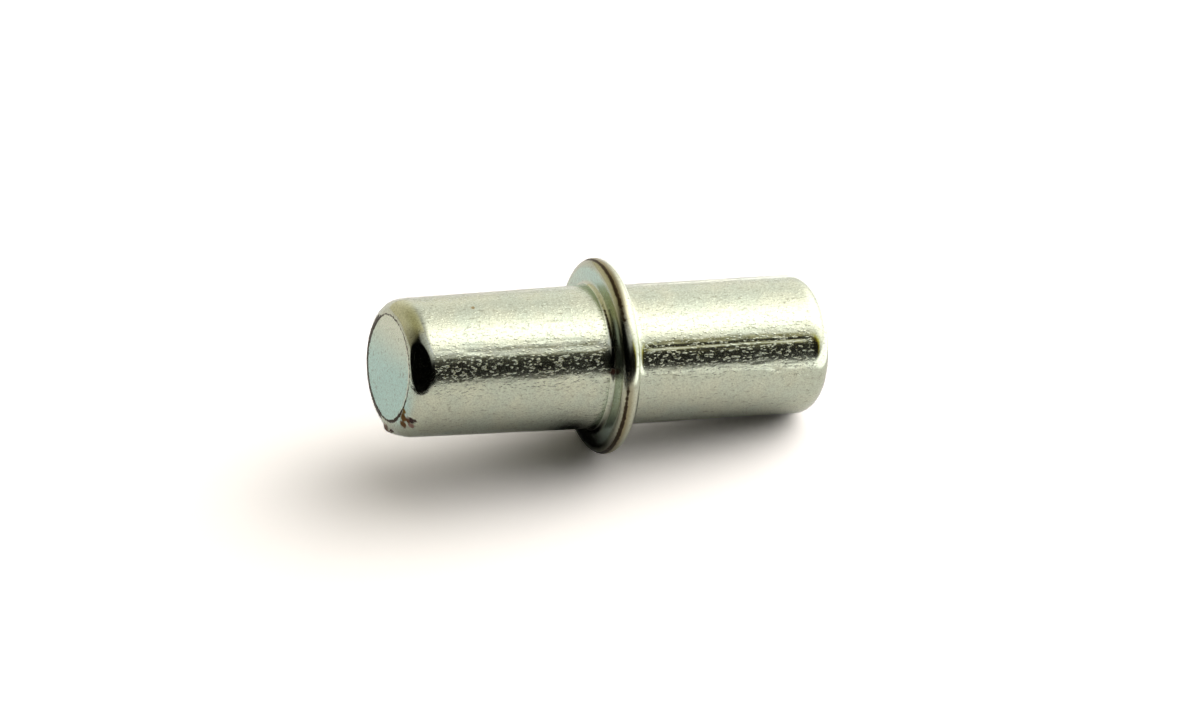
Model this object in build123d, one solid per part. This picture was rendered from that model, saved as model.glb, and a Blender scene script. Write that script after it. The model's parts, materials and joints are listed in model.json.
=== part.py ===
from build123d import *

import os
from math import asin, atan2, cos, degrees, hypot, radians, sin

# A shelf support pin: one piece of steel wire, headed cold, with a collar between its two stems.
# The drafted stem came out of the punch, so it tapers, and its end was cropped a little off square.
# The straight stem keeps the wire's own diameter and fits a hole of the same nominal size.
# The pin is drawn along X with its cropped end at zero, and is then laid down as it comes to rest.

# Driving sizes in millimetres
drafted_length = 7.59
drafted_tip_diameter = 4.92
drafted_root_diameter = 5.14
straight_length = 7.70
straight_diameter = 5.0
collar_diameter = 7.02
collar_thickness = 0.715
front_root_size = 0.18
back_root_size = 0.45
cropped_end_round = 0.69
far_end_round = 0.75
overrun = 1.0

# Angle in degrees between the cropped end and a square cut, and where round the axis from the top it is cut back
crop_angle = 5.1
crop_turn = 61.0

# The upset rim is a full round but for a narrow band, and these are shares of the collar's thickness
rim_front_round_share = 0.49
rim_back_round_share = 0.49

# A root or rim round takes up no more than this share of the step it lies on
round_limit_share = 0.48

# Places along the axis
collar_front = drafted_length
collar_back = collar_front + collar_thickness
far_end = collar_back + straight_length

# Radii worked out from the driving sizes
drafted_tip_radius = drafted_tip_diameter / 2
drafted_root_radius = drafted_root_diameter / 2
straight_radius = straight_diameter / 2
collar_radius = collar_diameter / 2
front_step = collar_radius - drafted_root_radius
back_step = collar_radius - straight_radius
front_root_round = min(front_root_size, front_step * round_limit_share)
back_root_round = min(back_root_size, back_step * round_limit_share)
rim_front_round = min(collar_thickness * rim_front_round_share, front_step * round_limit_share)
rim_back_round = min(collar_thickness * rim_back_round_share, back_step * round_limit_share)


def rounded(section, corner, radius):
    """The section with the corner nearest to a point rounded."""
    return fillet(section.vertices().sort_by_distance(corner)[0], radius)


def half_section():
    """Half of the lengthwise section, with the axis along X and the radius along Y."""
    draft = (drafted_root_radius - drafted_tip_radius) / drafted_length
    front_root = (collar_front, drafted_root_radius)
    front_rim = (collar_front, collar_radius)
    back_rim = (collar_back, collar_radius)
    back_root = (collar_back, straight_radius)
    far_edge = (far_end, straight_radius)
    stock_edge = (-overrun, drafted_tip_radius - draft * overrun)
    outline = Polyline(
        (-overrun, 0), stock_edge, front_root, front_rim, back_rim, back_root, far_edge, (far_end, 0), close=True
    )
    section = Sketch() + make_face(outline)
    section = rounded(section, front_root, front_root_round)
    section = rounded(section, front_rim, rim_front_round)
    section = rounded(section, back_rim, rim_back_round)
    section = rounded(section, back_root, back_root_round)
    return rounded(section, far_edge, far_end_round)


def cropped(pin):
    """The pin with its drafted stem cropped a little off square and the crop's edge rounded over."""
    angle = radians(crop_angle)
    turn = radians(crop_turn)
    cut = Plane(origin=(0, 0, 0), z_dir=(cos(angle), sin(angle) * sin(turn), -sin(angle) * cos(turn)))
    kept = split(pin, bisect_by=cut, keep=Keep.TOP)
    return fillet(kept.edges().sort_by(Axis.X)[0], cropped_end_round)


def rest_tilt():
    """Angle in degrees of the line that touches the collar's rim and the far end's rounded edge."""
    run = (far_end - far_end_round) - (collar_back - rim_back_round)
    drop = (collar_radius - rim_back_round) - (straight_radius - far_end_round)
    return degrees(atan2(drop, run) - asin((far_end_round - rim_back_round) / hypot(run, drop)))


def laid(pin):
    """The pin lying on its collar and its straight stem's end, centred over the origin."""
    tilted = Rot(0, rest_tilt(), 0) * pin
    box = tilted.bounding_box()
    return Pos(-box.center().X, -box.center().Y, -box.min.Z) * tilted


def shelf_support_pin():
    """The whole pin at rest."""
    return laid(cropped(revolve(half_section(), Axis.X)))


os.makedirs("parts", exist_ok=True)
export_step(shelf_support_pin(), "parts/shelf_support_pin.step")
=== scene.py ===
import json
import logging
import math
from dataclasses import dataclass, field
from enum import Enum

import bpy
import numpy as np
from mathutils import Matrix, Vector


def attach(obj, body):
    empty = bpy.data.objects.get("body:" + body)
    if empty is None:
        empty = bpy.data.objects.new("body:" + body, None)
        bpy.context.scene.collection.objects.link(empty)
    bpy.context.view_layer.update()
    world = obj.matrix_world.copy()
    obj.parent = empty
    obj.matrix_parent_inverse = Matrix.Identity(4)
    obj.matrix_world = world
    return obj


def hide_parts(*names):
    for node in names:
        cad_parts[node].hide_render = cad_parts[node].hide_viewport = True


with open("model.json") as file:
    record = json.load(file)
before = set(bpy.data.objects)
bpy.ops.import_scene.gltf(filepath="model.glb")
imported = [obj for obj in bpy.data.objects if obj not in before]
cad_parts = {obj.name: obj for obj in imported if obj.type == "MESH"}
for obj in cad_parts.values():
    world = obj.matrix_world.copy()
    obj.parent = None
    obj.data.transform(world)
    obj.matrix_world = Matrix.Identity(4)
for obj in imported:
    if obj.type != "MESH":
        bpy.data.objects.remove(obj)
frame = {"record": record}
log = logging.getLogger("shelf_support_pin")

MM = 0.001
NODE = "shelf_support_pin"

Colour = tuple[float, float, float, float]
Pair = tuple[float, float]
Triple = tuple[float, float, float]
Rows = tuple[np.ndarray, np.ndarray]
Grid = dict[str, np.ndarray]
Area = tuple[Pair, Pair]


def linear(code: str) -> Colour:
    """Turns an sRGB hex colour into Blender's linear one.

    Args:
        code: six hex digits, such as "C0C8B0".

    Returns:
        Linear red, green, blue and a full alpha.
    """
    parts = (int(code[i : i + 2], 16) / 255 for i in (0, 2, 4))
    red, green, blue = (c / 12.92 if c <= 0.04045 else ((c + 0.055) / 1.055) ** 2.4 for c in parts)
    return red, green, blue, 1.0


def add_node(
    tree: bpy.types.NodeTree, kind: str, inputs: dict | None = None, out: str | int = 0, **settings: object
) -> bpy.types.NodeSocket | None:
    """Adds a node with its settings and its links.

    Args:
        tree: the node tree it goes into.
        kind: the node's type name after "ShaderNode".
        inputs: a socket to link or a value to set, by the input's name or number.
        out: the name or number of the wanted output.
        settings: the node's own properties.

    Returns:
        The wanted output, or None where the node has no outputs.
    """
    node = tree.nodes.new("ShaderNode" + kind)
    for name, value in settings.items():
        setattr(node, name, value)
    for name, value in (inputs or {}).items():
        if isinstance(value, bpy.types.NodeSocket):
            tree.links.new(value, node.inputs[name])
        else:
            node.inputs[name].default_value = value
    return node.outputs[out] if len(node.outputs) else None


def bare_tree(owner: bpy.types.Material | bpy.types.World) -> bpy.types.NodeTree:
    """Gives a material or a world an empty node tree.

    Args:
        owner: the material or world.

    Returns:
        Its node tree.
    """
    owner.use_nodes = True
    owner.node_tree.nodes.clear()
    return owner.node_tree


def smoothstep(low: float, high: float, x: np.ndarray) -> np.ndarray:
    """Rises from 0 at low to 1 at high as 3t² - 2t³, where t is x's share of the way."""
    t = np.clip((x - low) / (high - low), 0.0, 1.0)
    return t * t * (3.0 - 2.0 * t)


def hump(x: np.ndarray, middle: float, spread: float) -> np.ndarray:
    """A bell of height 1 at the middle, exp of minus half the squared distance in spreads."""
    return np.exp(-0.5 * ((x - middle) / spread) ** 2)


def turned(turn: np.ndarray, middle: float) -> np.ndarray:
    """How far a turn in degrees is past a middle one, from -180 to 180."""
    return (turn - middle + 180.0) % 360.0 - 180.0


@dataclass(frozen=True)
class Sector:
    """A part of the way round the pin: its middle turn and its spread, in degrees."""

    middle: float
    spread: float

    def share(self, turn: np.ndarray) -> np.ndarray:
        """A bell of height 1 at the middle turn."""
        return hump(turned(turn, self.middle), 0.0, self.spread)


Sectors = tuple[tuple[Sector, float], ...]


def summed(sectors: Sectors, turn: np.ndarray, start: float = 0.0) -> np.ndarray:
    """A start plus the sum of the sectors' bells, each times its value."""
    return sum((value * sector.share(turn) for sector, value in sectors), start)


class Stretch(Enum):
    """The stretches of the pin's lengthwise outline, from the cropped end to the far end."""

    CROP_FACE = 0
    CROP_ROUND = 1
    DRAFTED_STEM = 2
    FRONT_ROOT = 3
    COLLAR_FRONT = 4
    RIM = 5
    COLLAR_BACK = 6
    BACK_ROOT = 7
    STRAIGHT_STEM = 8
    FAR_ROUND = 9
    FAR_FACE = 10


def on(rows: np.ndarray, *stretches: Stretch) -> np.ndarray:
    """Where rows, given by their stretch's number, lie on any of the stretches."""
    return np.isin(rows, [stretch.value for stretch in stretches])


@dataclass
class Outline:
    """Half of the pin's lengthwise section in millimetres, as rows of points with their outward normals."""

    parts: list[np.ndarray] = field(default_factory=list)

    def _keep(self, stretch: Stretch, points: Rows, normals: Rows) -> None:
        """Adds the rows of one stretch: their places and radii, their normals and the stretch's number."""
        self.parts.append(np.stack([*points, *normals, np.full(len(points[0]), stretch.value)]))

    def run(self, stretch: Stretch, start: Pair, end: Pair, rows: int) -> None:
        """Adds a straight run: start plus a share t of the way to end, with its last point left out.

        Args:
            stretch: the stretch that it belongs to.
            start: its first place along the axis and radius.
            end: its last place along the axis and radius.
            rows: how many rows it gets.
        """
        t = np.arange(rows) / rows
        step = np.array(end) - np.array(start)
        length = np.hypot(*step)
        normal = np.full(rows, -step[1] / length), np.full(rows, step[0] / length)
        self._keep(stretch, (start[0] + step[0] * t, start[1] + step[1] * t), normal)

    def bend(self, stretch: Stretch, centre: Pair, radius: float, degrees: Pair, rows: int) -> None:
        """Adds an arc: centre plus the radius at an angle that runs evenly from the first to the last.

        Args:
            stretch: the stretch that it belongs to.
            centre: its centre's place along the axis and radius.
            radius: its radius.
            degrees: its first and last angle. A falling one is a rounded edge, a rising one a hollow root.
            rows: how many rows it gets.
        """
        first, last = np.radians(degrees)
        angle = first + (last - first) * np.arange(rows) / rows
        outward = 1.0 if last < first else -1.0
        points = centre[0] + radius * np.cos(angle), centre[1] + radius * np.sin(angle)
        self._keep(stretch, points, (outward * np.cos(angle), outward * np.sin(angle)))

    def rows(self) -> Grid:
        """All the rows joined, as one column for each kind of value, by its name."""
        names = ("along", "radius", "normal_along", "normal_out", "stretch")
        return dict(zip(names, np.concatenate(self.parts, axis=1)[..., None]))


@dataclass(frozen=True)
class Scratch:
    """A fine straight line in the unrolled plate, from millimetres along the axis and degrees round it."""

    start: Pair
    end: Pair
    depth: float = 0.006
    width: float = 0.05

    def height(self, along: np.ndarray, turn: np.ndarray, radius: float) -> np.ndarray:
        """Minus the depth on the line, fading as a bell with the distance from it.

        Args:
            along: places along the axis in millimetres.
            turn: places round the axis in degrees.
            radius: the stem's radius in millimetres.

        Returns:
            Heights in millimetres.
        """
        arc = math.radians(1.0) * radius
        step = np.array([self.end[0] - self.start[0], (self.end[1] - self.start[1]) * arc])
        x, y = along - self.start[0], (turn - self.start[1]) * arc
        share = np.clip((x * step[0] + y * step[1]) / (step @ step), 0.0, 1.0)
        away = np.hypot(x - share * step[0], y - share * step[1])
        return -self.depth * hump(away, 0.0, self.width)


@dataclass(frozen=True)
class Spot:
    """A place on the pin: millimetres along the axis and out from it, and degrees round it from the top."""

    along: float
    radius: float
    turn: float

    def point(self) -> np.ndarray:
        """The place as (along, up, side) in millimetres."""
        turn = math.radians(self.turn)
        return np.array([self.along, self.radius * math.cos(turn), self.radius * math.sin(turn)])


@dataclass(frozen=True)
class Dent:
    """A small round dent where the cropping tool or handling has marked the metal."""

    spot: Spot
    depth: float
    size: float

    def height(self, points: np.ndarray) -> np.ndarray:
        """Minus the depth at its middle, fading as a bell with the distance from it."""
        return -self.depth * hump(np.linalg.norm(points - self.spot.point(), axis=-1), 0.0, self.size)


@dataclass(frozen=True)
class PlateMarks:
    """Where the plate is pitted, tinted bluish as partly painted reflection, darker at its edges as partly
    painted shade, or lighter as burnish and painted highlight, in millimetres and degrees.

    Each mark is a value from 0 to 1 by row and column: whole stretches, and bells round the edges' lines.
    """

    face_pitted: float = 0.35
    rounds_pitted: float = 0.04
    face_lit_top: Pair = (-0.2, 1.9)
    face_lit_top_lean: float = 12.0
    face_lit_top_warm: float = 0.6
    face_lit_top_highlight: float = 0.6
    face_cool: float = 0.85
    low_round: Sector = Sector(112.0, 22.0)
    low_round_reach: Pair = (0.1, 0.5)
    low_round_cool: float = 0.8
    front_inner: Pair = (2.64, 2.80)
    front_outer: Pair = (3.10, 3.34)
    front_end: float = 7.8
    front_cool: Sectors = ((Sector(345.0, 38.0), 0.65), (Sector(62.0, 14.0), 0.25), (Sector(120.0, 25.0), 0.5))
    left_from: Pair = (168.0, 184.0)
    left_to: Pair = (300.0, 328.0)
    low_crease: Sector = Sector(140.0, 18.0)
    crease_level: float = 0.7
    crease_more: float = 0.3
    crease_width: float = 0.036
    crease_wider: float = 0.02
    shaded_band_reach: Pair = (0.13, 0.27)
    rim_line: Spot = Spot(7.773, 3.447, 0.0)
    rim_width: float = 0.05
    rim_wider: Sectors = ((Sector(140.0, 35.0), 0.02), (Sector(38.0, 18.0), 0.024))
    rim_clean: Sector = Sector(57.0, 15.0)
    rim_cleaned: float = 0.8
    rim_shade_offset: float = 0.07
    rim_shade_width: float = 0.12
    root_shade_line: Spot = Spot(7.50, 2.60, 0.0)
    root_shade_width: float = 0.04
    root: Sector = Sector(35.0, 18.0)
    root_shade_level: float = 0.8
    bright_line: float = -0.075
    bright_width: float = 0.025
    bright: Sector = Sector(60.0, 45.0)

    def values(self, pin: "Pin", rows: Grid, turn: np.ndarray) -> Grid:
        """Works the marks out on the pin's grid.

        Args:
            pin: the pin that they are on.
            rows: the outline's rows.
            turn: places round the axis in degrees, as one row.

        Returns:
            The values by the attribute's name.
        """
        along, radius, stretch = rows["along"], rows["radius"], rows["stretch"]
        everywhere = np.zeros_like(turn)
        face, crop_round = on(stretch, Stretch.CROP_FACE), on(stretch, Stretch.CROP_ROUND)
        stems = on(stretch, Stretch.DRAFTED_STEM, Stretch.STRAIGHT_STEM)
        edge = pin.from_crease(rows)
        # Painted highlight: the cropped face's top is made lighter and less bluish, as the light falls.
        upper = smoothstep(*self.face_lit_top, radius * np.cos(np.radians(turn + self.face_lit_top_lean)))
        # A bluish tint on the cropped face, the round's low side and the collar's front: partly the plate's own
        # tint, partly a painted reflection.
        cool_face = face * (1.0 - self.face_lit_top_warm * upper)
        low_round = crop_round * (1.0 - smoothstep(*self.low_round_reach, edge)) * self.low_round.share(turn)
        front = on(stretch, Stretch.FRONT_ROOT, Stretch.COLLAR_FRONT, Stretch.RIM)
        front = front * smoothstep(*self.front_inner, radius) * (1.0 - smoothstep(*self.front_outer, radius))
        cool_front = front * (along < self.front_end) * summed(self.front_cool, turn)
        left = smoothstep(*self.left_from, turn) * (1.0 - smoothstep(*self.left_to, turn))
        # Darker along the cropped face's edge, more and wider on its back and low sides.
        darker_sides = np.maximum(left, self.low_crease.share(turn))
        crease = (self.crease_level + self.crease_more * darker_sides) * (along < pin.drafted_length / 2)
        crease = crease * hump(edge, 0.0, self.crease_width + self.crease_wider * darker_sides)
        # Painted shade: a dark strip on the round's back and low side, next to the cropped edge.
        shaded_band = crop_round * left * (1.0 - smoothstep(*self.shaded_band_reach, edge))
        from_rim = np.hypot(along - self.rim_line.along, radius - self.rim_line.radius)
        rim = hump(from_rim, 0.0, summed(self.rim_wider, turn, self.rim_width))
        clean = 1.0 - self.rim_cleaned * self.rim_clean.share(turn)
        # Painted shade: a dark line in the front root's hollow, near the top.
        from_root = np.hypot(along - self.root_shade_line.along, radius - self.root_shade_line.radius)
        root = hump(from_root, 0.0, self.root_shade_width) * self.root.share(turn)
        bright = hump(edge, self.bright_line, self.bright_width) * self.bright.share(turn)
        # A light line just inside the cropped edge as burnish, and the painted highlight on the face's top.
        burnish_and_highlight = face * np.maximum(bright, self.face_lit_top_highlight * upper)
        # Painted shade: the rim's middle and back in a darker olive, and rougher there.
        rim_shade = hump(along, self.rim_line.along + self.rim_shade_offset, self.rim_shade_width)
        rim_shade = rim_shade * (radius > pin.collar_radius - pin.rim_round)
        return {
            "stem": np.where(stems, 1.0, np.where(face, self.face_pitted, self.rounds_pitted)) + everywhere,
            "cool_tint_and_reflection": self.face_cool * cool_face + cool_front + self.low_round_cool * low_round + everywhere,
            "worn_edge_and_shade": np.maximum.reduce([crease, shaded_band, rim * clean, self.root_shade_level * root]),
            "burnish_and_highlight": burnish_and_highlight + everywhere,
            "rim_shade": rim_shade * clean,
        }


@dataclass
class Pin:
    """The headed pin with its two stems and collar, in millimetres, as the CAD model has it."""

    drafted_length: float = 7.59
    drafted_tip_radius: float = 2.46
    drafted_root_radius: float = 2.57
    straight_length: float = 7.70
    straight_radius: float = 2.5
    collar_radius: float = 3.51
    collar_thickness: float = 0.715
    front_root_round: float = 0.18
    back_root_round: float = 0.45
    crop_round: float = 0.69
    far_round: float = 0.75
    rim_round: float = 0.35035
    crop_degrees: float = 5.1
    crop_turn: float = 61.0
    crop_skew_start: float = 0.7
    crop_skew_end: float = 3.5
    crease_degrees: float = 6.0
    face_border: float = 0.3
    round_split: float = 148.0
    around: int = 368
    wave_depth: float = 0.0009
    wave_grain: float = 0.75
    wave_draw: float = 2.0
    drawn_depth: float = 0.0008
    drawn_grain: float = 0.17
    drawn_draw: float = 6.0
    grain_spread: float = 0.38
    stem_fade: float = 0.3
    crop_wave_depth: float = 0.001
    crop_wave_grain: float = 0.7
    crop_wave_step: float = 0.06
    crop_wave_from: Pair = (0.4, 1.2)
    crop_wave_to: Pair = (0.4, 0.68)
    # How far the cropped face's edge strays from its circle: all round, by sector, and in short waves, which
    # are given as waves in a turn, start and height
    edge_stray: float = -0.05
    edge_strays: Sectors = (
        (Sector(0.0, 30.0), 0.07),
        (Sector(105.0, 30.0), -0.06),
        (Sector(330.0, 20.0), 0.09),
        (Sector(152.0, 18.0), 0.08),
    )
    edge_stray_reach: float = 0.25
    edge_waves: tuple[Triple, ...] = ((23.0, 1.0, 0.008), (37.0, 2.3, 0.007))
    edge_wave_reach: float = 0.04
    flat_slant: float = 41.5
    flat_turn: float = 60.0
    flat_depth: float = 0.112
    flat_softness: float = 0.006
    burr: Spot = Spot(0.19, 2.27, 168.0)
    burr_height: float = 0.13
    burr_width: float = 0.12
    burr_degrees: float = 5.0
    burr_forward: float = 0.9
    burr_out: float = 0.3
    seed: int = 5
    die_lines: tuple[Scratch, ...] = (
        Scratch((0.9, 46.6), (7.1, 47.6), 0.006, 0.04),
        Scratch((2.0, 49.0), (7.2, 50.0), 0.012, 0.045),
        Scratch((2.6, 51.4), (7.2, 52.2), 0.007, 0.04),
        Scratch((1.2, 43.6), (6.4, 44.4), 0.005, 0.04),
        Scratch((8.8, 54.8), (15.2, 54.5), 0.016, 0.05),
        Scratch((9.2, 51.4), (14.9, 51.0), 0.006, 0.045),
        Scratch((10.0, 58.4), (13.6, 58.0), 0.005, 0.045),
    )
    scratches: tuple[Scratch, ...] = (
        Scratch((0.96, 96.7), (1.32, 87.4), 0.020, 0.05),
        Scratch((13.23, 75.3), (13.85, 78.8), 0.007, 0.04),
        Scratch((13.85, 78.8), (14.35, 87.6), 0.007, 0.04),
        Scratch((12.1, 9.0), (12.6, 9.6), 0.006, 0.04),
        Scratch((3.3, 12.0), (3.9, 12.4), 0.006, 0.04),
        Scratch((5.2, 24.0), (6.1, 24.6), 0.005, 0.04),
        Scratch((10.2, 103.0), (10.9, 101.0), 0.005, 0.045),
    )
    dents: tuple[Dent, ...] = (
        Dent(Spot(0.01, 1.86, 75.0), 0.011, 0.04),
        Dent(Spot(0.06, 1.98, 78.0), 0.014, 0.04),
        Dent(Spot(0.14, 2.12, 79.6), 0.012, 0.04),
        Dent(Spot(0.26, 2.28, 80.4), 0.009, 0.04),
        Dent(Spot(0.19, 2.20, 74.5), -0.008, 0.04),
        Dent(Spot(0.30, 2.35, 158.0), 0.030, 0.12),
    )
    marks: PlateMarks = PlateMarks()

    @property
    def collar_back(self) -> float:
        """Place along the axis of the collar's back face."""
        return self.drafted_length + self.collar_thickness

    @property
    def far_end(self) -> float:
        """Place along the axis of the far end face."""
        return self.collar_back + self.straight_length

    def outline(self) -> Outline:
        """Draws the lengthwise section, from the cropped face's middle to the far face's middle.

        Returns:
            The section, as straight runs and arcs one after another.
        """
        draft = (self.drafted_root_radius - self.drafted_tip_radius) / self.drafted_length
        crease = math.radians(self.crease_degrees)
        shoulder = self.crop_round * math.cos(crease)
        shoulder_radius = self.drafted_tip_radius + draft * shoulder
        crop_centre = shoulder_radius - self.crop_round
        edge = crop_centre + self.crop_round * math.sin(crease)
        inner = edge - self.face_border
        first, middle, last = 180.0 - self.crease_degrees, self.round_split, 90.0
        root_start = self.drafted_length - self.front_root_round
        root_radius = self.drafted_tip_radius + draft * root_start
        root_top = root_radius + self.front_root_round
        front, back, far = self.drafted_length, self.collar_back, self.far_end
        rim, rim_low = self.rim_round, self.collar_radius - self.rim_round
        straight, back_root = self.straight_radius, self.back_root_round
        far_start, far_centre = far - self.far_round, straight - self.far_round
        made = Outline()
        made.run(Stretch.CROP_FACE, (0.0, 0.0), (0.0, inner), rows=14)
        made.run(Stretch.CROP_FACE, (0.0, inner), (0.0, edge), rows=10)
        made.bend(Stretch.CROP_ROUND, (shoulder, crop_centre), self.crop_round, (first, middle), rows=10)
        made.bend(Stretch.CROP_ROUND, (shoulder, crop_centre), self.crop_round, (middle, last), rows=13)
        made.run(Stretch.DRAFTED_STEM, (shoulder, shoulder_radius), (root_start, root_radius), rows=62)
        made.bend(Stretch.FRONT_ROOT, (root_start, root_top), self.front_root_round, (270, 360), rows=10)
        made.run(Stretch.COLLAR_FRONT, (front, root_top), (front, rim_low), rows=10)
        made.bend(Stretch.RIM, (front + rim, rim_low), rim, (180, 90), rows=14)
        made.bend(Stretch.RIM, (back - rim, rim_low), rim, (90, 0), rows=14)
        made.run(Stretch.COLLAR_BACK, (back, rim_low), (back, straight + back_root), rows=5)
        made.bend(Stretch.BACK_ROOT, (back + back_root, straight + back_root), back_root, (180, 270), rows=12)
        made.run(Stretch.STRAIGHT_STEM, (back + back_root, straight), (far_start, straight), rows=62)
        made.bend(Stretch.FAR_ROUND, (far_start, far_centre), self.far_round, (90, 0), rows=18)
        made.run(Stretch.FAR_FACE, (far, far_centre), (far, 0.0), rows=12)
        return made

    def pits(self, rows: int, step: float, grain: float, draw: float, rng: np.random.Generator) -> np.ndarray:
        """Random relief of one grain size that closes round the stem.

        White noise on the grid is kept only at waves near the grain's length: each wave is weighted by a
        bell round one wave per grain, with waves along the axis drawn out by a factor.

        Args:
            rows: rows along the axis.
            step: millimetres from row to row.
            grain: the length of one wave round the stem, in millimetres.
            draw: how many times longer a wave is along the axis.
            rng: the seeded source of the noise.

        Returns:
            Heights with a mean of 0 and a spread of 1, rows by columns.
        """
        noise = rng.standard_normal((rows, self.around))
        girth = 2.0 * math.pi * self.straight_radius / self.around
        waves_along = np.fft.fftfreq(rows, step)[:, None] * draw
        waves_round = np.fft.fftfreq(self.around, girth)[None, :]
        weight = hump(np.hypot(waves_along, waves_round) * grain, 1.0, self.grain_spread)
        field_made = np.fft.ifft2(np.fft.fft2(noise) * weight).real
        return field_made / field_made.std()

    def crease_row(self, stretch: np.ndarray) -> int:
        """The row of the cropped face's edge."""
        return int(np.argmax(on(stretch, Stretch.CROP_ROUND)))

    def from_crease(self, rows: Grid) -> np.ndarray:
        """How far each row is from the cropped face's edge.

        Args:
            rows: the outline's rows.

        Returns:
            Distances in millimetres, below zero on the face.
        """
        crease = self.crease_row(rows["stretch"][:, 0])
        away = np.hypot(rows["along"] - rows["along"][crease], rows["radius"] - rows["radius"][crease])
        return np.where(on(rows["stretch"], Stretch.CROP_FACE), -away, away)

    def wander(self, rows: Grid, turn: np.ndarray) -> np.ndarray:
        """How far the cropped face's edge strays from a circle, in millimetres.

        The stray is a sum of bells round the edge, and short waves make it ragged. Each fades as a bell with
        the distance from the edge.

        Args:
            rows: the outline's rows.
            turn: places round the axis in degrees, as one row.

        Returns:
            Moves out from the axis, rows by columns.
        """
        swing = np.radians(turn)
        stray = summed(self.edge_strays, turn, self.edge_stray)
        ragged = sum(height * np.sin(waves * swing + start) for waves, start, height in self.edge_waves)
        away = self.from_crease(rows)
        moved = stray * hump(away, 0.0, self.edge_stray_reach) + ragged * hump(away, 0.0, self.edge_wave_reach)
        return moved * (rows["along"] < self.crop_round)

    def relief(self, rows: Grid, turn: np.ndarray, points: np.ndarray) -> np.ndarray:
        """Heights of the fine relief along the outward normal, in millimetres.

        The stems carry slow waves, drawn-out lines, die lines and scratches, all fading towards their ends.
        The cropped end carries slow waves and the dents.

        Args:
            rows: the outline's rows.
            turn: places round the axis in degrees, as one row.
            points: the smooth surface's points as (along, up, side).

        Returns:
            Heights, rows by columns.
        """
        rng = np.random.default_rng(self.seed)
        along, stretch = rows["along"], rows["stretch"][:, 0]
        height = np.zeros((len(along), self.around))
        radii = {Stretch.DRAFTED_STEM: self.drafted_root_radius, Stretch.STRAIGHT_STEM: self.straight_radius}
        for stem, radius in radii.items():
            here = on(stretch, stem)
            s = along[here]
            step = float(s[1, 0] - s[0, 0])
            fade = smoothstep(0.0, self.stem_fade, s - s[0]) * smoothstep(0.0, self.stem_fade, s[-1] - s)
            made = self.wave_depth * self.pits(len(s), step, self.wave_grain, self.wave_draw, rng)
            drawn = self.pits(len(s), step, self.drawn_grain, self.drawn_draw, rng)
            made = made + self.drawn_depth * drawn
            for line in self.die_lines + self.scratches:
                made = made + line.height(s, turn, radius)
            height[here] = made * fade
        crop = on(stretch, Stretch.CROP_FACE, Stretch.CROP_ROUND)
        inner = smoothstep(*self.crop_wave_from, rows["radius"][crop])
        inner = inner * (1.0 - smoothstep(*self.crop_wave_to, along[crop]))
        waves = self.pits(int(crop.sum()), self.crop_wave_step, self.crop_wave_grain, 1.0, rng)
        height[crop] = self.crop_wave_depth * waves * inner
        return height + sum(dent.height(points) for dent in self.dents)

    def pressed(self, points: np.ndarray) -> np.ndarray:
        """The points with the flat that the cropping tool pressed into the near side of the end's round.

        A point that stands above the flat's plane by h goes down along the plane's normal by
        w ln(1 + exp(h / w)), which is h well above the plane and nothing well below it.

        Args:
            points: the smooth surface's points as (along, up, side) in millimetres.

        Returns:
            The points in the same order.
        """
        slant, turn = math.radians(self.flat_slant), math.radians(self.flat_turn)
        across = math.sin(slant)
        normal = np.array([-math.cos(slant), across * math.cos(turn), across * math.sin(turn)])
        reach = (self.drafted_tip_radius - self.crop_round) * math.sin(slant)
        plane = self.crop_round * (1.0 - math.cos(slant)) + reach - self.flat_depth
        above = points @ normal - plane
        pressed_in = self.flat_softness * np.logaddexp(0.0, above / self.flat_softness)
        return points - pressed_in[..., None] * normal

    def lip(self, rows: Grid, turn: np.ndarray) -> np.ndarray:
        """The burr that the crop left low on the end: a bell in the radius times a bell in the turn.

        Args:
            rows: the outline's rows.
            turn: places round the axis in degrees, as one row.

        Returns:
            Shares of the burr's height, rows by columns.
        """
        crop = on(rows["stretch"], Stretch.CROP_FACE, Stretch.CROP_ROUND)
        across = hump(rows["radius"], self.burr.radius, self.burr_width) * crop
        return across * Sector(self.burr.turn, self.burr_degrees).share(turn)

    def surface(self) -> tuple[np.ndarray, np.ndarray, Grid]:
        """The pin's surface as a grid of rows along it by columns round it.

        A point is the axis point plus the radius times the direction at its turn. The radius has the face
        edge's stray, the round has its flat, and the point goes out along its normal by the relief and forwards
        and out with the burr. It moves along the axis by the skew of the cropped end, which dies out along the
        drafted stem.

        Returns:
            Points as (along, up, side) in millimetres, the turns in degrees, and the rows.
        """
        rows = self.outline().rows()
        turn = np.arange(self.around)[None, :] * (360.0 / self.around)
        cosine, sine = np.cos(np.radians(turn)), np.sin(np.radians(turn))
        radius = rows["radius"] + self.wander(rows, turn)
        smooth = np.stack(np.broadcast_arrays(rows["along"], radius * cosine, radius * sine), -1)
        smooth = self.pressed(smooth)
        height = self.relief(rows, turn, smooth)
        burr = self.burr_height * self.lip(rows, turn)
        forward = rows["normal_along"] * height - self.burr_forward * burr
        out = rows["normal_out"] * height + self.burr_out * burr
        points = smooth + np.stack([forward, out * cosine, out * sine], -1)
        cut_back = math.radians(self.crop_turn)
        skew = math.cos(cut_back) * points[..., 1] + math.sin(cut_back) * points[..., 2]
        skew = math.tan(math.radians(self.crop_degrees)) * skew
        points[..., 0] += skew * (1.0 - smoothstep(self.crop_skew_start, self.crop_skew_end, rows["along"]))
        return points, turn, rows

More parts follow.
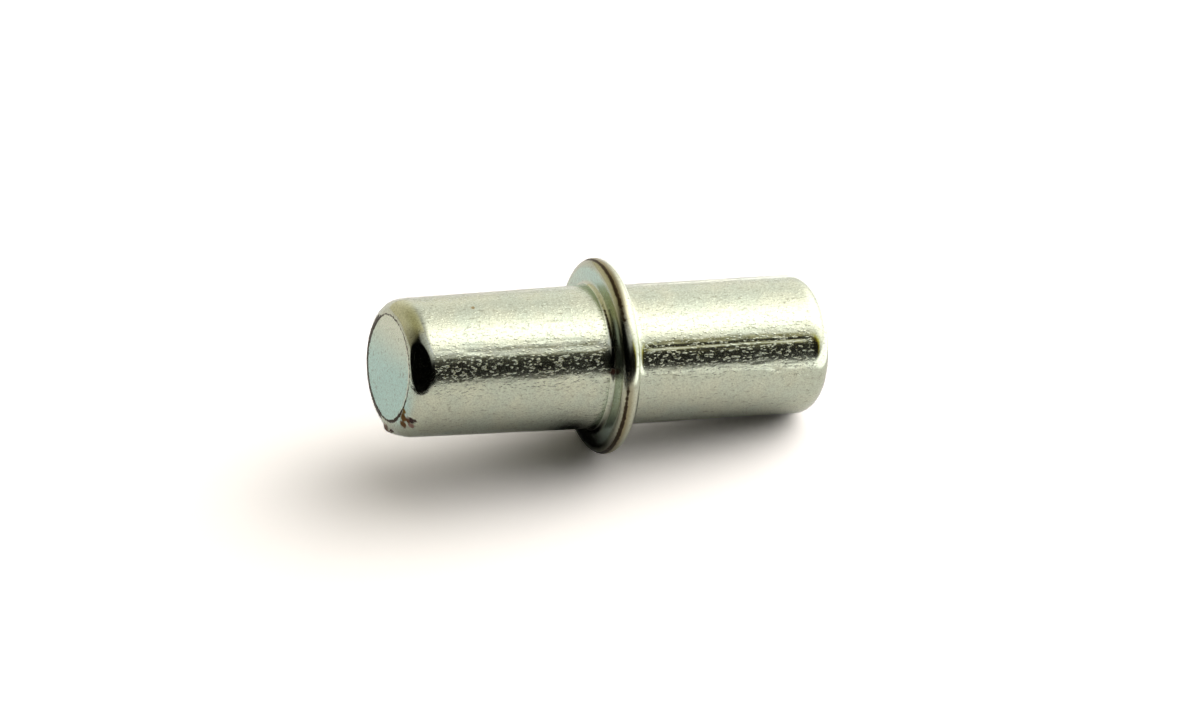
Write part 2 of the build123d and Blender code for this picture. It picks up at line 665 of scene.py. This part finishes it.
    def axis(self) -> Rows:
        """Reads the axis from the straight stem's mount.

        Returns:
            The axis's direction and its start in metres.
        """
        mount = next(m for m in frame["record"]["mounts"] if m["name"] == "straight_stem")
        axis = np.array(mount["axis"])
        middle = (self.collar_back + self.back_root_round + self.far_end - self.far_round) / 2
        return axis, np.array(mount["pos_m"]) - axis * middle * MM

    def place(self, points: np.ndarray) -> np.ndarray:
        """Places points in the frame: the start plus steps along the axis, up and to the side.

        Args:
            points: (along, up, side) in millimetres.

        Returns:
            Points in metres, in the same order.
        """
        axis, start = self.axis()
        up = np.array([-axis[2], 0.0, axis[0]])
        side = np.array([0.0, -1.0, 0.0])
        return start + MM * (points[..., :1] * axis + points[..., 1:2] * up + points[..., 2:] * side)

    def build(self) -> bpy.types.Object:
        """Makes the pin's mesh from its surface, with one point at each pole, and marks its attributes.

        Returns:
            The pin.
        """
        grid, turn, rows = self.surface()
        count = len(grid) - 1
        poles = np.array([[0.0, 0.0, 0.0], [self.far_end, 0.0, 0.0]])
        points = self.place(np.concatenate([grid[1:].reshape(-1, 3), poles]))
        number = np.arange(count * self.around).reshape(count, self.around)
        after = np.roll(number, -1, axis=1)
        quads = np.stack([number[:-1], after[:-1], after[1:], number[1:]], -1).reshape(-1, 4)
        near, far = len(points) - 2, len(points) - 1
        near_fan = np.stack([np.full(self.around, near), after[0], number[0]], -1)
        far_fan = np.stack([np.full(self.around, far), number[-1], after[-1]], -1)
        mesh = bpy.data.meshes.new(NODE)
        mesh.from_pydata(points.tolist(), [], quads.tolist() + near_fan.tolist() + far_fan.tolist())
        mesh.shade_smooth()
        row = np.append(np.repeat(np.arange(count), self.around), [-1, -1])
        ends = np.empty(2 * len(mesh.edges), np.int32)
        mesh.edges.foreach_get("vertices", ends)
        sharp = (row[ends.reshape(-1, 2)] == self.crease_row(rows["stretch"][1:, 0])).all(1)
        mesh.attributes.new("sharp_edge", "BOOLEAN", "EDGE").data.foreach_set("value", sharp)
        for name, value in self.marks.values(self, rows, turn).items():
            spread = np.append(value[1:].ravel(), [value[0, 0], value[-1, 0]]).astype(np.float32)
            mesh.attributes.new(name, "FLOAT", "POINT").data.foreach_set("value", spread)
        piece = bpy.data.objects.new("zinc_plated_pin", mesh)
        bpy.context.scene.collection.objects.link(piece)
        return piece


@dataclass(frozen=True)
class Stain:
    """A brown spot in the plate: where it is, how far it reaches in millimetres, and its colour."""

    spot: Spot
    reach: float
    colour: str


@dataclass(frozen=True)
class ZincPlate:
    """Bright zinc plate on drawn steel: a soft gloss, light yellow-green on the stems and bluish on the faces,
    partly as painted reflection.

    The plate is thin and follows the drawn wire below it, so it shows fine drawn-out pits, small darker specks
    and slow changes of tone. It is darker along the cropped face's edge and the collar's rim, with painted
    shade in the front root, on the rim's middle and back, and on a strip at the round's back and low side. The
    cropped face's top carries a painted highlight, and a few spots of rust have come through at the cropped
    end. Sizes are in millimetres.
    """

    body: str = "D1D4BD"
    body_green: str = "C9D0BC"
    cool_tint_and_reflection: str = "C3E6DF"
    speck: str = "7F7D66"
    pale_burnish_and_highlight: str = "F0EED2"
    rim_shade_colour: str = "938A6B"
    grime_and_shade: str = "3A2C14"
    roughness: float = 0.14
    stem_roughness: float = 0.06
    cool_roughness: float = 0.26
    cloud_roughness: float = 0.08
    pit_size: float = 0.075
    pit_depth: float = 0.0056
    speck_size: float = 0.10
    grain_size: float = 0.06
    cloud_size: float = 1.3
    ragged_size: float = 0.16
    ragged_reach: float = 0.10
    edge_break: float = 0.9
    stain_edge: Pair = (1.25, 0.75)
    drawn_out: Triple = (0.45, 1.0, 1.0)
    rim_shade_roughness: float = 0.08
    worn_and_shade_roughness: float = 0.25
    rust_roughness: float = 0.35
    worn_and_shade_metal: float = 0.7
    rust_metal: float = 0.3
    stains: tuple[Stain, ...] = (
        Stain(Spot(0.300, 2.345, 121.0), 0.13, "C29C8C"),
        Stain(Spot(0.035, 1.995, 121.3), 0.19, "9C7020"),
        Stain(Spot(0.013, 1.900, 113.5), 0.15, "A8822E"),
        Stain(Spot(0.107, 2.148, 128.0), 0.17, "8A5E1C"),
        Stain(Spot(0.150, 2.210, 117.5), 0.16, "7A4A18"),
        Stain(Spot(0.250, 2.310, 114.8), 0.14, "3C160A"),
        Stain(Spot(0.370, 2.390, 113.2), 0.10, "3C160A"),
        Stain(Spot(0.110, 2.220, 168.0), 0.22, "A88A76"),
        Stain(Spot(0.150, 2.220, 159.0), 0.10, "5A3A20"),
        Stain(Spot(2.747, 2.500, 6.7), 0.07, "A8966A"),
        Stain(Spot(7.490, 2.610, 71.5), 0.11, "5A3A28"),
    )

    def material(self, pin: Pin) -> bpy.types.Material:
        """The plate's material.

        Args:
            pin: the pin that it goes on, which gives the axis and the stains' places.

        Returns:
            The material.
        """
        axis, start = pin.axis()
        tilt = math.atan2(-axis[2], axis[0])
        made = bpy.data.materials.new("zinc_plated_steel")
        made.use_nodes = True
        tree = made.node_tree
        shader = tree.nodes["Principled BSDF"]
        place = add_node(tree, "TexCoord", out="Object")
        moved = add_node(tree, "VectorMath", {0: place, 1: start}, operation="SUBTRACT")
        level = {"Vector": moved, "Rotation": (0.0, -tilt, 0.0), "Scale": (1 / MM,) * 3}
        mm = add_node(tree, "Mapping", level)
        drawn = add_node(tree, "VectorMath", {0: mm, 1: self.drawn_out}, operation="MULTIPLY")
        mark = {
            name: add_node(tree, "Attribute", out="Fac", attribute_name=name)
            for name in ("stem", "cool_tint_and_reflection", "worn_edge_and_shade", "burnish_and_highlight", "rim_shade")
        }
        # Each pattern: where it is read, its features' size in millimetres and its detail
        patterns = {
            "cloud": (mm, self.cloud_size, 3.0),
            "fine": (drawn, self.speck_size, 2.0),
            "grain": (mm, self.grain_size, 1.0),
            "ragged": (mm, self.ragged_size, 3.0),
            # Real pits are a few hundredths of a millimetre wide, and these are two or three times that to show
            "pit": (drawn, self.pit_size, 2.0),
        }
        noise = {}
        for name, (where, size, detail) in patterns.items():
            drawn_at = {"Vector": where, "Scale": 1 / size, "Detail": detail}
            noise[name] = add_node(tree, "TexNoise", drawn_at, "Fac")
        broken = {0: noise["fine"], 1: self.edge_break, 2: mark["worn_edge_and_shade"]}
        noise["edge"] = add_node(tree, "Math", broken, operation="MULTIPLY_ADD")
        # Each share: the noise that it comes from, where it starts and is full, and its full value
        rises = {
            "clouds": ("cloud", 0.35, 0.65, 1.0),
            "grains": ("grain", 0.38, 0.62, 0.22),
            "specks": ("fine", 0.58, 0.74, 0.5),
            "worn_and_shade": ("edge", 0.8, 1.2, 1.0),
            "pits": ("pit", 0.54, 0.70, 1.0),
        }
        share = {}
        for name, (source, low, high, full) in rises.items():
            rise = {"Value": noise[source], "From Min": low, "From Max": high, "To Max": full}
            share[name] = add_node(tree, "MapRange", rise, interpolation_type="SMOOTHSTEP")
        layers = [
            (share["clouds"], self.body_green),
            (mark["cool_tint_and_reflection"], self.cool_tint_and_reflection),
            # Burnish along the cropped edge and a painted highlight on the face's top.
            (mark["burnish_and_highlight"], self.pale_burnish_and_highlight),
            (share["grains"], self.speck),
            (share["specks"], self.speck),
            # Painted shade on the collar's rim.
            (mark["rim_shade"], self.rim_shade_colour),
            # Darker along the edges, partly as painted shade in the front root and on the round's side strip.
            (share["worn_and_shade"], self.grime_and_shade),
        ]
        stray = {0: noise["ragged"], 1: -2.0 * self.ragged_reach * MM, 2: self.ragged_reach * MM}
        stray = add_node(tree, "Math", stray, operation="MULTIPLY_ADD")
        rusty = 0.0
        for stain in self.stains:
            ends = {0: place, 1: Vector(pin.place(stain.spot.point()))}
            away = add_node(tree, "VectorMath", ends, "Value", operation="DISTANCE")
            away = add_node(tree, "Math", {0: away, 1: stray}, operation="ADD")
            outer, inner = (share_of * stain.reach * MM for share_of in self.stain_edge)
            reach = {"Value": away, "From Min": outer, "From Max": inner}
            cover = add_node(tree, "MapRange", reach, interpolation_type="SMOOTHSTEP")
            rusty = add_node(tree, "Math", {0: rusty, 1: cover}, operation="MAXIMUM")
            layers.append((cover, stain.colour))
        tone = linear(self.body)
        for over, colour in layers:
            mix = {"Factor": over, "A": tone, "B": linear(colour)}
            tone = add_node(tree, "Mix", mix, "Result", data_type="RGBA")
        rougher = (
            (noise["cloud"], self.cloud_roughness),
            (mark["stem"], self.stem_roughness),
            (mark["cool_tint_and_reflection"], self.cool_roughness),
            (mark["rim_shade"], self.rim_shade_roughness),
            (share["worn_and_shade"], self.worn_and_shade_roughness),
            (rusty, self.rust_roughness),
        )
        gloss = self.roughness - self.cloud_roughness / 2
        for value, by in rougher:
            gloss = add_node(tree, "Math", {0: value, 1: by, 2: gloss}, operation="MULTIPLY_ADD")
        metal = 1.0
        for value, left in ((share["worn_and_shade"], self.worn_and_shade_metal), (rusty, self.rust_metal)):
            less = {0: value, 1: left - 1.0, 2: metal}
            metal = add_node(tree, "Math", less, operation="MULTIPLY_ADD")
        pits = add_node(tree, "Math", {0: share["pits"], 1: mark["stem"]}, operation="MULTIPLY")
        relief = {"Height": pits, "Strength": 1.0, "Distance": self.pit_depth * MM}
        bump = add_node(tree, "Bump", relief)
        dressed = {"Base Color": tone, "Roughness": gloss, "Metallic": metal, "Normal": bump}
        for name, socket in dressed.items():
            tree.links.new(socket, shader.inputs[name])
        return made


@dataclass(frozen=True)
class Lamp:
    """A soft lamp on the tent's wall: a bell in the angle from its middle, in degrees, and its light."""

    turn: float
    rise: float
    spread: float
    level: float
    tint: Triple = (1.0, 0.985, 0.96)


@dataclass
class Studio:
    """A white floor inside a tent: large soft lamps on the right, a dark front and left, and a white world.

    The metal mirrors the tent, the floor and the cards on it. The floor is lit by an outer tent of its own,
    with one lamp and a little light from all round. Turns and rises are in degrees, the cards in millimetres.
    """

    floor_half: float = 0.35
    floor_white: Pair = (0.04, 0.08)
    floor_seen: Colour = (2.30, 2.30, 2.30, 1.0)
    floor_mirrored: Colour = (1.36, 1.38, 1.42, 1.0)
    floor_colour: str = "8A8A88"
    tent_radius: float = 0.5
    outer_share: float = 1.04
    left_edge: Pair = (-128.0, -92.0)
    left_lean: Pair = (0.25, 30.0)
    right_edge: float = 58.0
    right_lean: Pair = (0.9, 15.0)
    right_fringe: Triple = (0.0, 0.8, 7.0)
    right_softness: float = 12.0
    top_edge: float = 40.0
    top_lean: Pair = (0.28, 10.0)
    top_softness: float = 8.0
    back_turn: Pair = (150.0, 185.0)
    high_rise: Pair = (15.0, 60.0)
    main: Lamp = Lamp(99.0, 28.0, 27.0, 2.8)
    upper: Lamp = Lamp(62.0, 60.0, 15.0, 1.6)
    behind: Lamp = Lamp(154.0, 14.0, 16.0, 0.72)
    floor_lamp: Lamp = Lamp(99.0, 28.0, 30.0, 2.8, (1.04, 0.985, 0.93))
    around_level: float = 0.014
    back_level: float = 0.22
    overhead_level: float = 0.35
    back_low: Colour = (0.67, 0.62, 0.46, 1.0)
    back_high: Colour = (0.44, 0.40, 0.22, 1.0)
    card_height: float = 0.3
    white_card: Area = ((13.0, 100.0), (-60.0, 60.0))
    white_level: float = 2.0
    dark_card: Area = ((-150.0, -27.0), (-150.0, 10.0))
    shade_area: Area = ((-5.0, 0.2), (-4.0, 5.4))
    shade_middle: Pair = (-1.3, 0.1)
    shade_spread: Pair = (0.5, 1.7)
    shade_level: float = 1.3
    fill_level: float = 0.1
    fill_colour: str = "FFF4EA"

    def toward(self, turn: np.ndarray | float, rise: np.ndarray | float) -> np.ndarray:
        """The direction at a turn in degrees from -Y towards +X and a rise in degrees."""
        a, e = np.radians(turn), np.radians(rise)
        return np.stack([np.sin(a) * np.cos(e), -np.cos(a) * np.cos(e), np.sin(e) + 0.0 * a], -1)

    def floor(self) -> None:
        """Makes a flat white floor at the frame's zero height."""
        h = self.floor_half
        mesh = bpy.data.meshes.new("floor")
        mesh.from_pydata([(-h, -h, 0), (h, -h, 0), (h, h, 0), (-h, h, 0)], [], [(0, 1, 2, 3)])
        made = bpy.data.materials.new("matt_white_floor")
        tree = bare_tree(made)
        glossy = add_node(tree, "LightPath", out="Is Glossy Ray")
        mirrored = add_node(tree, "Math", {0: glossy, 1: self.direct(tree)}, operation="MULTIPLY")
        camera = add_node(tree, "LightPath", out="Is Camera Ray")
        tone = linear(self.floor_colour)
        for ray, colour in ((mirrored, self.floor_mirrored), (camera, self.floor_seen)):
            mix = {"Factor": ray, "A": tone, "B": colour}
            tone = add_node(tree, "Mix", mix, "Result", data_type="RGBA")
        matt = add_node(tree, "BsdfDiffuse", {"Color": tone})
        # Well away from the pin and its shadow the camera sees plain white, as it does in the world behind
        place = add_node(tree, "TexCoord", out="Object")
        away = add_node(tree, "VectorMath", {0: place}, "Value", operation="LENGTH")
        near_end, far_end = self.floor_white
        reach = {"Value": away, "From Min": near_end, "From Max": far_end}
        far = add_node(tree, "MapRange", reach, interpolation_type="SMOOTHSTEP")
        far = add_node(tree, "Math", {0: far, 1: camera}, operation="MULTIPLY")
        white = add_node(tree, "Emission", {"Color": linear("FFFFFF"), "Strength": 1.0})
        faded = add_node(tree, "MixShader", {0: far, 1: matt, 2: white})
        add_node(tree, "OutputMaterial", {"Surface": faded})
        mesh.materials.append(made)
        self.show("floor", mesh)

    def direct(self, tree: bpy.types.NodeTree) -> bpy.types.NodeSocket:
        """1 for light that reaches the camera straight or by mirrors, 0 for what lights a matt surface."""
        depth = add_node(tree, "LightPath", out="Diffuse Depth")
        return add_node(tree, "Math", {0: depth, 1: 0.5}, operation="LESS_THAN")

    def show(self, name: str, mesh: bpy.types.Mesh) -> bpy.types.Object:
        """Links a stage object.

        Args:
            name: its name.
            mesh: its mesh.

        Returns:
            The object.
        """
        made = bpy.data.objects.new(name, mesh)
        bpy.context.scene.collection.objects.link(made)
        return made

    def sheet(self, name: str, points: np.ndarray, glow: np.ndarray, mirrored: bool = True) -> None:
        """Makes a glowing sheet that the camera doesn't see.

        Args:
            name: the sheet's name.
            points: a grid of its points in metres.
            glow: the grid's red, green and blue light and how far it covers what is behind it.
            mirrored: whether only the metal mirrors it, or it lights the floor.
        """
        number = np.arange(points[..., 0].size).reshape(points.shape[:2])
        corners = [number[:-1, :-1], number[1:, :-1], number[1:, 1:], number[:-1, 1:]]
        quads = np.stack(corners, -1).reshape(-1, 4)
        mesh = bpy.data.meshes.new(name)
        mesh.from_pydata(points.reshape(-1, 3).tolist(), [], quads.tolist())
        shining = mesh.attributes.new("glow", "FLOAT_COLOR", "POINT")
        shining.data.foreach_set("color", glow.astype(np.float32).ravel())
        made = bpy.data.materials.new(name)
        tree = bare_tree(made)
        light = add_node(tree, "Attribute", out="Color", attribute_name="glow")
        strength = self.direct(tree) if mirrored else 1.0
        shine = add_node(tree, "Emission", {"Color": light, "Strength": strength})
        cover = add_node(tree, "Attribute", out="Alpha", attribute_name="glow")
        clear = add_node(tree, "BsdfTransparent")
        covered = add_node(tree, "MixShader", {0: cover, 1: clear, 2: shine})
        add_node(tree, "OutputMaterial", {"Surface": covered})
        mesh.materials.append(made)
        shown = self.show(name, mesh)
        shown.visible_camera = False
        shown.visible_glossy = mirrored
        shown.visible_diffuse = shown.visible_shadow = not mirrored

    def bell(self, lamp: Lamp, here: np.ndarray) -> np.ndarray:
        """A lamp's red, green and blue light in each direction: its bell times its level and tint."""
        away = np.degrees(np.arccos(np.clip(here @ self.toward(lamp.turn, lamp.rise), -1, 1)))
        return lamp.level * hump(away, 0.0, lamp.spread)[..., None] * np.array(lamp.tint)

    def tent(self) -> None:
        """The tent's light by direction: soft lamps on the right, a dark front and left and a warm back.

        The dark reaches from the left to an edge on the right that draws back away from one rise, a little
        further in blue than in red, and ends below a dim overhead cloth. The warm back turns olive overhead.
        """
        turn, rise = np.meshgrid(np.linspace(-180, 180, 181), np.linspace(0.3, 89.0, 60))
        here = self.toward(turn, rise)
        lamps = self.bell(self.main, here) + self.bell(self.upper, here) + self.bell(self.behind, here)
        lean, level = self.left_lean
        left_edge = smoothstep(*self.left_edge, turn - lean * (rise - level))
        lean, level = self.right_lean
        right_edge = (self.right_edge - lean * np.abs(rise - level))[..., None] + np.array(self.right_fringe)
        dark = smoothstep(0.0, self.right_softness, right_edge - turn[..., None]) * left_edge[..., None]
        lean, start = self.top_lean
        top_edge = self.top_edge + lean * np.maximum(0.0, -turn - start)
        overhead = smoothstep(-self.top_softness, self.top_softness, rise - top_edge)[..., None]
        back = (smoothstep(*self.back_turn, turn) + 1.0 - left_edge)[..., None]
        high = smoothstep(*self.high_rise, rise)[..., None]
        warm = (1.0 - high) * np.array(self.back_low[:3]) + high * np.array(self.back_high[:3])
        front = dark * overhead * self.overhead_level
        full = np.ones_like(front[..., :1])
        glow = (1.0 - dark * (1.0 - overhead)) * lamps + front + back * warm
        self.sheet("light_tent", self.tent_radius * here, np.concatenate([glow, full], -1))
        floor_light = (1.0 - dark[..., :1]) * self.bell(self.floor_lamp, here)
        floor_light = floor_light + self.back_level * back * warm + self.around_level
        floor_light = np.concatenate([floor_light, full], -1)
        self.sheet("floor_light", self.outer_share * self.tent_radius * here, floor_light, mirrored=False)

    def card(self, name: str, area: Area, level: float) -> None:
        """A card on the floor that only the metal mirrors.

        Args:
            name: the card's name.
            area: its ends in x and in y, in millimetres.
            level: how bright it is.
        """
        x, y = np.meshgrid(*area)
        points = np.stack([x, y, np.full_like(x, self.card_height)], -1) * MM
        self.sheet(name, points, np.broadcast_to([level, level, level, 1.0], (2, 2, 4)))

    def shade(self) -> None:
        """The dark below the stem beside the collar, which only the metal mirrors.

        How far it covers the floor is a bell in x times a bell in y, cut off at 1.
        """
        x, y = np.meshgrid(*(np.linspace(*ends, 40) for ends in self.shade_area))
        (middle_x, middle_y), (spread_x, spread_y) = self.shade_middle, self.shade_spread
        cover = np.minimum(1.0, self.shade_level * hump(x, middle_x, spread_x) * hump(y, middle_y, spread_y))
        points = np.stack([x, y, np.full_like(x, self.card_height)], -1) * MM
        self.sheet("shade", points, np.stack([0.0 * x, 0.0 * x, 0.0 * x, cover], -1))

    def world(self) -> None:
        """Makes a white world for what the camera and the metal see, and a soft warm fill for the rest."""
        made = bpy.data.worlds.new("studio")
        tree = bare_tree(made)
        seen = 0.0
        for ray in ("Is Camera Ray", "Is Glossy Ray", "Is Transmission Ray"):
            path = add_node(tree, "LightPath", out=ray)
            seen = add_node(tree, "Math", {0: seen, 1: path}, operation="MAXIMUM")
        white = add_node(tree, "Background", {"Color": linear("FFFFFF"), "Strength": 1.0})
        filled = {"Color": linear(self.fill_colour), "Strength": self.fill_level}
        fill = add_node(tree, "Background", filled)
        mixed = add_node(tree, "MixShader", {0: seen, 1: fill, 2: white})
        add_node(tree, "OutputWorld", {"Surface": mixed})
        bpy.context.scene.world = made


@dataclass(frozen=True)
class PhotoCamera:
    """The camera at the photograph's viewing angle, with its place in millimetres."""

    location: Triple = (-82.0475, -236.981, 162.098)
    azimuth: float = -19.027
    elevation: float = 32.365
    focal_pixels: float = 8319.0
    picture_width: float = 1181.0
    sensor: float = 36.0
    clip: Pair = (0.01, 10.0)

    def build(self) -> None:
        """Makes the camera and hands it to the scene."""
        data = bpy.data.cameras.new("photo_camera")
        data.sensor_width = self.sensor
        data.lens = self.sensor * self.focal_pixels / self.picture_width
        data.clip_start, data.clip_end = self.clip
        made = bpy.data.objects.new("photo_camera", data)
        a, e = math.radians(self.azimuth), math.radians(self.elevation)
        back = Vector((math.sin(a) * math.cos(e), -math.cos(a) * math.cos(e), math.sin(e)))
        made.location = Vector(self.location) * MM
        made.rotation_euler = back.to_track_quat("Z", "Y").to_euler()
        bpy.context.scene.collection.objects.link(made)
        bpy.context.scene.camera = made


def main() -> None:
    """Builds the studio, the camera and the pin."""
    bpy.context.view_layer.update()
    bpy.context.scene.view_settings.view_transform = "Standard"
    studio = Studio()
    studio.floor()
    studio.tent()
    studio.card("white_card", studio.white_card, studio.white_level)
    studio.card("dark_card", studio.dark_card, 0.0)
    studio.shade()
    studio.world()
    PhotoCamera().build()
    pin = Pin()
    piece = pin.build()
    piece.data.materials.append(ZincPlate().material(pin))
    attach(piece, "root")
    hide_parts(NODE)
    log.info("%s: %d faces", piece.name, len(piece.data.polygons))
    bpy.context.view_layer.update()
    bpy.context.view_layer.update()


if __name__ == "__main__":
    logging.basicConfig(level=logging.INFO)
    main()
